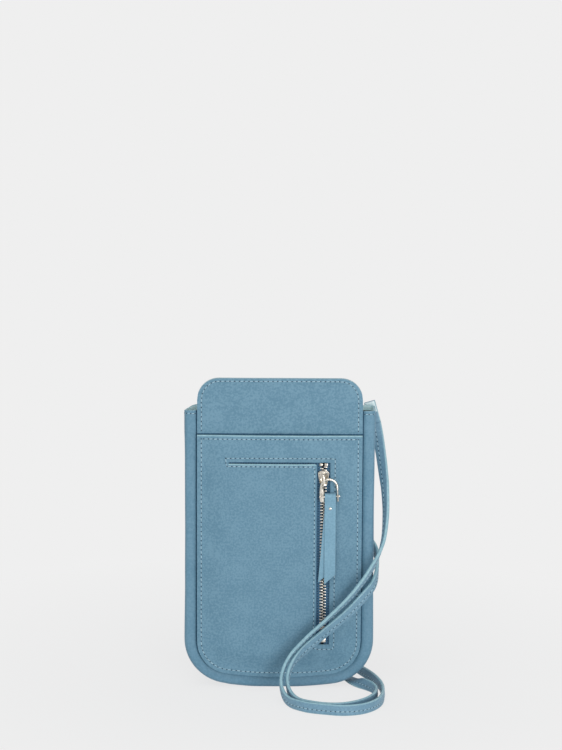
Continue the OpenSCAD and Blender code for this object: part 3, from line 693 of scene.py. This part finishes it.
def pocket_face(x, z):
    """Outer face of the pocket panel, raised over the zip pocket. Each form eases in and out
    between two places across, two places up, or both"""
    foot = low(x, BORDER)
    raised = (ease(x, -48.5, -34) * ease(x, 48.5, 36.4)
              * ease(z, foot + 3, foot + 18) * ease(z, MOUTH, MOUTH - 12.5))
    flare = FLARE * ease(z, MOUTH - 13, MOUTH) * ease(abs(x), 45, 15)
    lifted = FLAP_LIFT * ease(z, 133, 145) * (z <= SLIT_LOW) * ease(x, -33, -21) * ease(x, 24, 16)
    sunk = SUNK * ease(z, 151.5, 147) * (z >= SLIT_TOP) * ease(x, -33, -21) * ease(x, 36, 28)
    soft = ripple(x, z, 30, UNEVEN, 5.2) * ease(abs(x - ZIP_X), 0, 14)
    return -POCKET - (RAISED - POCKET) * raised - flare - lifted + sunk + soft


# Row above which the pocket's rows run level again, and how far they rise at the sides below it
POCKET_LEVEL, ROW_RISE = 40.0, 1.8


def pocket_place(x, row):
    """Pocket panel point. Rows follow the bottom up to the window's lower edge, which curves up at
    the sides, and the flap's free corner is rounded"""
    foot, line = low(x, BORDER), WINDOW_LOW + ROW_RISE * ease(abs(x), 38, HALF_W - BORDER)
    if row < WINDOW_LOW:
        z = foot + (line - foot) * (row - ROW_LOW) / (WINDOW_LOW - ROW_LOW)
    elif row < POCKET_LEVEL:
        z = line + (POCKET_LEVEL - line) * (row - WINDOW_LOW) / (POCKET_LEVEL - WINDOW_LOW)
    else:
        z = row
    a, b = (x - WINDOW_LEFT) / WINDOW_R + 1, (z - SLIT_LOW) / WINDOW_R + 1
    if 0 < a <= 1 and 0 < b <= 1:
        x = WINDOW_LEFT + WINDOW_R * (a * math.sqrt(1 - b * b / 2) - 1)
        z = SLIT_LOW + WINDOW_R * (b * math.sqrt(1 - a * a / 2) - 1)
    return Vector((x, pocket_face(x, z), z))


FLAP_CORNER = [WINDOW_R * i / 4 for i in (1, 2, 3, 4)]
POCKET_COLS = columns(BORDER, [SLIT_LEFT, WINDOW_LEFT, WINDOW_RIGHT]
                      + [WINDOW_LEFT - c for c in FLAP_CORNER])
POCKET_ROWS = lines([ROW_LOW, WINDOW_LOW, POCKET_LEVEL, SLIT_LOW, SLIT_TOP, MOUTH - HIGHLIGHT_LIP, MOUTH]
                    + [SLIT_LOW - c for c in FLAP_CORNER],
                    steps(ROW_LOW, WINDOW_LOW, 2.2) + steps(WINDOW_LOW, POCKET_LEVEL, 2.6)
                    + steps(POCKET_LEVEL, 142, 3.4) + steps(147, MOUTH, 1.6), 0.6)


def pocket_finish(i, j):
    """The openings are holes, and the lips of the mouth and of the slit's flap get edge paint over their
    faces: real edge paint widened into a painted highlight of their lit edges
    """
    x = (POCKET_COLS[i] + POCKET_COLS[i + 1]) / 2
    z = (POCKET_ROWS[j] + POCKET_ROWS[j + 1]) / 2
    in_slit = SLIT_LEFT < x < WINDOW_RIGHT and SLIT_LOW < z < SLIT_TOP
    in_window = WINDOW_LEFT < x < WINDOW_RIGHT and WINDOW_LOW < z < SLIT_TOP
    # Lips get the pale edge paint as a painted highlight
    painted_highlight = z > MOUTH - HIGHLIGHT_LIP or SLIT_LEFT < x < WINDOW_LEFT and SLIT_LOW - HIGHLIGHT_LIP < z < SLIT_LOW
    return -1 if in_slit or in_window else 1 if painted_highlight else 0


piece("pocket_panel_leather", grid(POCKET_COLS, POCKET_ROWS, pocket_place, pocket_finish),
      [LEATHER, EDGE_PAINT_AND_HIGHLIGHT], ["pocket_panel"], thick=POCKET_T, edge=0.28, rim=1, closed=False)

# Seams of the panels. The zip pocket has one closed row round its L-shaped opening
MOUTH_SEAM, MOUTH_SEAM_X = MOUTH - 2.4, HALF_W - BORDER - STITCH_IN - 1.5
L_LEFT, L_TOP, L_RIGHT, L_LOW, L_INNER, L_UNDER = -33.2, 149.0, 34.2, 26.8, 21.6, 143.9
sew("pocket_stitches", [
    row_on(base_seam(MOUTH_SEAM), pocket_face),
    row_on(seam([(-MOUTH_SEAM_X, MOUTH_SEAM), (MOUTH_SEAM_X, MOUTH_SEAM)]), pocket_face),
    row_on(seam([(L_LEFT, L_TOP), (L_RIGHT, L_TOP), (L_RIGHT, L_LOW), (L_INNER, L_LOW),
                 (L_INNER, L_UNDER), (L_LEFT, L_UNDER), (L_LEFT, L_TOP)]), pocket_face)])
sew("tab_stitches", [row_on(tab_seam(MOUTH + 2.5), front_face),
                     row_on(tab_seam(BODY_H + 3), facing_face, -FRONT)])
sew("back_stitches", [row_on(base_seam(BODY_H - 3.5), lambda x, z: back_face(-x, z), -FRONT)])


# Gusset and its lining: a channel whose flanges lie behind the panels. Points of its section are
# given as inset and Y. The welt is a groove beside the panel and a soft crown outside it
FLANGE, TURN_WIDE, TURN_DEEP = 13.0, 2.8, 3.5
WELT = [(8.2, 8.3), (7.8, 8.05), (7.3, 8.35), (6.7, 8.85), (5.6, 9.1), (4.3, 9.15)]
WELT_FOOT = 6.9
# How far its rim dips at the left and the right, and its sides sag inwards
DIP_LEFT, DIP_RIGHT, SAG = 3.0, 0.3, 1.3


def channel(depth, reach, welted):
    """Section from the front flange round the side to the back flange"""
    flat = HALF_D - depth
    half = [(reach, flat), (BORDER + 0.5, flat - 0.05 * welted)]
    if welted:
        half += WELT
    wide, deep = TURN_WIDE - depth, TURN_DEEP - depth
    half += [(depth + wide - wide * math.sin(a), flat - deep + deep * math.cos(a))
             for a in angles(math.pi / 2, 7)]
    half += [(depth, y) for y in steps(5.5, 0, 1.1)[1:]]
    return [(i, -y) for i, y in half] + [(i, y) for i, y in reversed(half[:-1])]


def channel_place(p, place):
    """The rim dips towards its back corners, more at the left, and the side sags inwards between
    the bottom's corners and the rim"""
    inset, y = p
    side, centre, radius, slope = place
    dip = (DIP_LEFT if side < 0 else DIP_RIGHT) * ease(inset, 7, 0) * ease(y, -HALF_D, 5)
    centre = centre - UP * dip * ease(centre.z, BODY_H - 8, BODY_H)
    slack = ease(centre.z, 34, 74) * ease(centre.z, 168, 143) * (slope > 1.5)
    slack *= 1 - (y / HALF_D) ** 2
    sag = SAG * (1 - (y / HALF_D) ** 2) + ripple(centre.z * side, y, 22, 0.3, 2.2)
    return on_outline((side, centre, radius, slope), inset + slack * sag, y)


def channel_tube(depth, thick, top, reach, welted):
    """Closed tube of a channel, its outside first. A welt's groove at its foot gets painted shade, the
    seam leather
    """
    outer, inner = channel(depth, reach, welted), channel(depth + thick, reach, False)
    ring = outer + inner[::-1]

    def finish(i, j):
        if i >= len(outer) - 1:
            return 1
        # Faces of the welt's groove get painted shade
        return 2 if welted and 1 <= min(i, len(outer) - 2 - i) <= 3 else 0
    tube = grid(ring + ring[:1], round_the_body(top), channel_place, finish)
    return close_ends(tube, 3 if welted else 0)


piece("gusset_leather", channel_tube(0, GUSSET_T, BODY_H, FLANGE, True),
      [GUSSET, INSIDE, SEAM_SHADE, EDGE_PAINT_AND_HIGHLIGHT], ["gusset"], edge=0.35)
piece("gusset_lining_cloth",
      channel_tube(GUSSET_T + 0.05, GUSSET_LINING_T, LINING_TOP, BORDER, False),
      [LINING, LINING], ["gusset_lining"])


def hem_row(side):
    """Hem seam across the gusset, 2 mm below its top, from the front border round to the back"""
    place = (side, Vector((ROUND_X, 0, BODY_H - 2)), CORNER_R, math.pi / 2)
    points = [channel_place(p, place) for p in channel(0, FLANGE, True) if p[0] < WELT_FOOT]
    lift, row = 0.05, []
    for a, b, c in zip([points[0]] + points, points, points[1:] + [points[-1]]):
        out = (c - a).cross(UP).normalized() * side
        row.append((b + out * lift, out))
    return row


sew("hem_stitches", [hem_row(-1), hem_row(1)], pitch=2.6)


# Linings of both sides, and the zip pocket's own bag
LINING_Y = 7.05
BAG_Y, BAG_TOP, BAG_INSET = -10.62, 148.8, 13.5


def lining_sheet(name, node, y, side, top=LINING_TOP, inset=BORDER + 0.3, finish=LINING):
    """Lining cloth with its outer face at y; side is -1 for a sheet seen from behind"""
    def surface(x, z):
        return y + ripple(x, z, 26, 0.12, y)
    rows = steps(ROW_LOW, ROW_LEVEL, 4.0) + steps(ROW_LEVEL, top, 8.0)[1:]
    piece(name, grid(columns(inset), rows, panel_place(surface, inset, top, side)),
          [finish], [node], thick=LINING_T, closed=False)


lining_sheet("front_lining_cloth", "front_lining", -LINING_Y, -1)
lining_sheet("back_lining_cloth", "back_lining", LINING_Y, 1)
lining_sheet("pocket_bag_cloth", "pocket_bag", BAG_Y, 1, BAG_TOP, BAG_INSET, BAG)


# Zip tapes, and the strip of the same cloth behind the slit
PARTING = 1.2
STRIP_LEFT, STRIP_RIGHT, STRIP_LOW, STRIP_HIGH = -34.0, 17.8, 141.1, 150.1


def tape_strip(name, node, left, right, foot, top, side=0):
    """Strip of tape. side is the way its inner edge leaves the zip's middle above the slider, while
    its sewn edge stays"""
    def place(x, z):
        parting = side * PARTING * max(0.0, z - SLIDER_TOP) / (TAPE_HIGH - SLIDER_TOP)
        return Vector((x + parting * ease(abs(x - ZIP_X), 8.9, 4.9), TAPE_FRONT, z))
    piece(name, grid(steps(left, right, 1.0), steps(foot, top, 2.4), place), [TAPE], [node],
          thick=TAPE_T, edge=0.12, closed=False)


tape_strip("slit_facing_cloth", "slit_facing", STRIP_LEFT, STRIP_RIGHT, STRIP_LOW, STRIP_HIGH)
tape_strip("zip_tape_left_cloth", "zip_tape_left", ZIP_X - TAPE_OUTER, ZIP_X - TAPE_INNER,
           TAPE_LOW, TAPE_HIGH, -1)
tape_strip("zip_tape_right_cloth", "zip_tape_right", ZIP_X + TAPE_INNER, ZIP_X + TAPE_OUTER,
           TAPE_LOW, TAPE_HIGH, 1)


# Metal parts: bevelled copies of the solids
def tapered(bm):
    """Slider with a sunken front plate, a third narrower at its closed end"""
    border, sunk, narrower = 0.7, 0.35, 0.34
    plate = max((f for f in bm.faces if f.normal.y < -0.95), key=lambda f: f.calc_area())
    bmesh.ops.inset_individual(bm, faces=[plate], thickness=border * MM, depth=-sunk * MM)
    for vert in bm.verts:
        share = 1 - narrower * ease(vert.co.z / MM, SLIDER_TOP - 2.2, SLIDER_TOP - 8.7)
        vert.co.x = ZIP_X * MM + (vert.co.x - ZIP_X * MM) * share


def drawn_back(bm):
    """Teeth that end near the zip's middle, so that each row shows its own gaps"""
    back, root, tip = 0.65, 1.2, -0.75
    side = 1 if sum(vert.co.x - ZIP_X * MM for vert in bm.verts) > 0 else -1
    for vert in bm.verts:
        reach = side * (vert.co.x / MM - ZIP_X)
        vert.co.x += side * back * ease(reach, root, tip) * MM


def polished(name, node, width, body="pouch", segments=2, shaped=None, finish=NICKEL):
    """Metal part, a copy of its solid after its own shaping, with edges rounded over width"""
    bm = bmesh.new()
    bm.from_mesh(nodes[node].data)
    bmesh.ops.remove_doubles(bm, verts=bm.verts, dist=WELD)
    bmesh.ops.dissolve_limit(bm, angle_limit=math.radians(1), verts=bm.verts, edges=bm.edges)
    if shaped:
        shaped(bm)
    piece(name, bm, [finish], [node], body, edge=width, segments=segments)


polished("teeth_left", "zip_teeth_left", 0.16, segments=1, shaped=drawn_back, finish=TEETH)
polished("teeth_right", "zip_teeth_right", 0.16, segments=1, shaped=drawn_back, finish=TEETH)
polished("top_stops", "zip_top_stops", 0.2)
polished("bottom_stop", "zip_bottom_stop", 0.25)
polished("slider_body", "zip_slider", 0.22, "slider", shaped=tapered)
polished("ring_pin", "pull_pin", 0.15, "ring")
polished("rivet", "tab_rivet", 0.2, "tab", 3)


def ring_path():
    """Place in the ring's plane, direction, and half sizes across and deep, from end to end. The
    left leg is broad and stands a little inward, the right one is thin and deep, and both ends
    are domed"""
    legs = steps(-RING_LEG, 0, 0.8)
    path = [(-RING_R, z, 0.0, 1.0) for z in legs]
    path += [(-RING_R * math.cos(a), RING_R * math.sin(a), math.sin(a), math.cos(a))
             for a in angles(math.pi, 24)[1:-1]]
    path += [(RING_R, z, 0.0, -1.0) for z in reversed(legs)]
    rings = []
    for x, z, way_x, way_z in path:
        leg = ease(z, 1.5, -3.5)
        inward, broad, deep = (0.35, 0.8, 0) if x < 0 else (0, -0.22, 0.3)
        rings.append((Vector((x + inward * leg, 0, z)), Vector((way_x, 0, way_z)),
                      WIRE_R + broad * leg, WIRE_R + deep * leg))
    dome, tips = 0.7, []
    for (centre, way, across, deep), out in ((rings[0], -1), (rings[-1], 1)):
        tips.append([(centre + way * out * dome * math.sin(a), way, across * math.cos(a),
                      deep * math.cos(a)) for a in [math.pi / 8 * i for i in (1, 2, 3, 3.8)]])
    return tips[0][::-1] + rings + tips[1]


def ring_place(a, ring):
    """Point round the wire at one of its rings, with the whole ring hung askew"""
    centre, way, across, deep = ring
    side = Vector((way.z, 0, -way.x))
    p = centre + side * across * math.cos(a) + Vector((0, deep * math.sin(a), 0))
    return ARCH + Matrix.Rotation(-ROLL, 3, "Y") @ p


piece("ring_wire", close_ends(grid(angles(2 * math.pi, 16), ring_path(), ring_place)), [NICKEL],
      ["pull_ring"], "ring")

# Pull tab: its layers' distance from the pin's plane, its radius round the pin, and how far down
# the loop closes
LAYER_Y, LOOP_R, LOOP_DROP = 0.52, 1.6, 5.6
# How much shorter its back layer is, how that layer splays, and each layer's curl
BACK_SHORT, SPLAY, SPLAY_FROM = 0.9, math.radians(4.5), 7.4
CURL_FRONT, CURL_BACK, CURL_EDGE = -0.5, 0.15, 0.12


def pull_path():
    """Rows of one strip up the front, round the pin and down the back: Y and height from the pin,
    with 1 for the front layer, 0 for the loop and -1 for the back layer"""
    drops = steps(PULL_L, 5.0, 2.5) + steps(5.0, 0, 0.6)[1:]
    front = [(-LAYER_Y - (LOOP_R - LAYER_Y) * ease(drop, LOOP_DROP, 0), -drop, 1) for drop in drops]
    loop = [(-LOOP_R * math.cos(a), LOOP_R * math.sin(a), 0) for a in angles(math.pi, 12)[1:-1]]
    return front + loop + [(-y, z, -1) for y, z, layer in reversed(front)]


def pull_place(x, spot):
    """Point of the pull tab. Rows below the even ones slant like its ends. The back layer splays to
    the left, and both curl towards their ends and along their edges"""
    y, z, layer = spot
    drop, even = -z, 40
    if drop > even:
        cut = PULL_SLANT * (x + PULL_HALF) / (2 * PULL_HALF) + (BACK_SHORT if layer < 0 else 0)
        drop = even + (drop - even) * (PULL_L - cut - even) / (PULL_L - even)
    splay = math.tan(SPLAY) * max(0.0, drop - SPLAY_FROM) if layer < 0 else 0
    curl = ((CURL_BACK if layer < 0 else CURL_FRONT) * ease(drop, 22, PULL_L)
            + CURL_EDGE * (x / PULL_HALF) ** 2 * ease(drop, 9, 17))
    return Vector((PULL_X + x - splay, ARCH.y + y + curl, PIN_Z - drop))


piece("pull_tab_leather", grid(steps(-PULL_HALF, PULL_HALF, 0.9), pull_path(), pull_place),
      [PULL, EDGE_PAINT_AND_HIGHLIGHT], ["pull_tab"], "tab", thick=PULL_T, offset=0, edge=0.2, rim=1,
      closed=False)

# Hidden parts keep their solids
for node, finish in (("front_board", BOARD), ("back_board", BOARD), ("magnet_front", STEEL),
                     ("magnet_back", STEEL)):
    nodes[node].data.materials.clear()
    nodes[node].data.materials.append(finish)


# Floor, light and background
def looking(tree):
    """1 where the camera sees the background, also in metal or through glass, 0 for its light"""
    path = add(tree, "ShaderNodeLightPath").outputs
    mirrored = add(tree, "ShaderNodeMath",
                   {0: path["Is Glossy Ray"], 1: path["Is Transmission Ray"]}, operation="MAXIMUM")
    return add(tree, "ShaderNodeMath", {0: path["Is Camera Ray"], 1: mirrored.outputs[0]},
               operation="MAXIMUM").outputs[0]


BACKGROUND = "#efefef"


def lay_floor():
    """Pale matte sweep: its own plain grey to the camera, mixed with the lit floor round the pouch,
    so that the pouch's faint shadow shows"""
    mesh = bpy.data.meshes.new("floor")
    bm = bmesh.new()
    bmesh.ops.create_grid(bm, x_segments=1, y_segments=1, size=12)
    bm.to_mesh(mesh)
    bm.free()
    ground = bpy.data.objects.new("floor", mesh)
    bpy.context.scene.collection.objects.link(ground)
    made, tree, coords = blank("studio_floor")
    plain = add(tree, "ShaderNodeEmission", {"Color": tint(BACKGROUND)})
    lit = add(tree, "ShaderNodeBsdfDiffuse", {"Color": tint("#fafafa")})
    # The camera sees 15% of the lit floor up to 80 mm off the middle, and none past 300 mm
    away = add(tree, "ShaderNodeVectorMath", {0: coords}, operation="LENGTH").outputs["Value"]
    share = add(tree, "ShaderNodeMapRange", {"Value": away, "From Min": 80 * MM,
                                             "From Max": 300 * MM, "To Min": 0.85, "To Max": 1.0})
    seen = add(tree, "ShaderNodeMath", {0: looking(tree), 1: share.outputs[0]},
               operation="MULTIPLY")
    mixed = add(tree, "ShaderNodeMixShader",
                {0: seen.outputs[0], 1: lit.outputs[0], 2: plain.outputs[0]})
    add(tree, "ShaderNodeOutputMaterial", {"Surface": mixed.outputs[0]})
    mesh.materials.append(made)


def light_world():
    """Even soft light, behind the floor's plain grey"""
    world = bpy.data.worlds.new("studio")
    bpy.context.scene.world = world
    world.use_nodes = True
    tree = world.node_tree
    tree.nodes.clear()
    soft = add(tree, "ShaderNodeBackground", {"Color": tint("#f4f6f8"), "Strength": 0.53})
    shown = add(tree, "ShaderNodeBackground", {"Color": tint(BACKGROUND), "Strength": 1.0})
    mixed = add(tree, "ShaderNodeMixShader",
                {0: looking(tree), 1: soft.outputs[0], 2: shown.outputs[0]})
    add(tree, "ShaderNodeOutputWorld", {"Surface": mixed.outputs[0]})


def lamp(name, place, aim, size, power):
    """Square soft box, its place, aim and size in metres and its power in watts"""
    data = bpy.data.lights.new(name, "AREA")
    data.size = size
    data.energy = power
    made = bpy.data.objects.new(name, data)
    made.location = place
    made.rotation_euler = (Vector(aim) - Vector(place)).to_track_quat("-Z", "Y").to_euler()
    bpy.context.scene.collection.objects.link(made)


lay_floor()
light_world()
lamp("top_soft_box", (-0.4, -1.3, 2.2), (0, 0, 0.1), 1.6, 11.5)
lamp("front_soft_box", (0.5, -1.5, 0.2), (0, 0, 0.05), 0.8, 12)
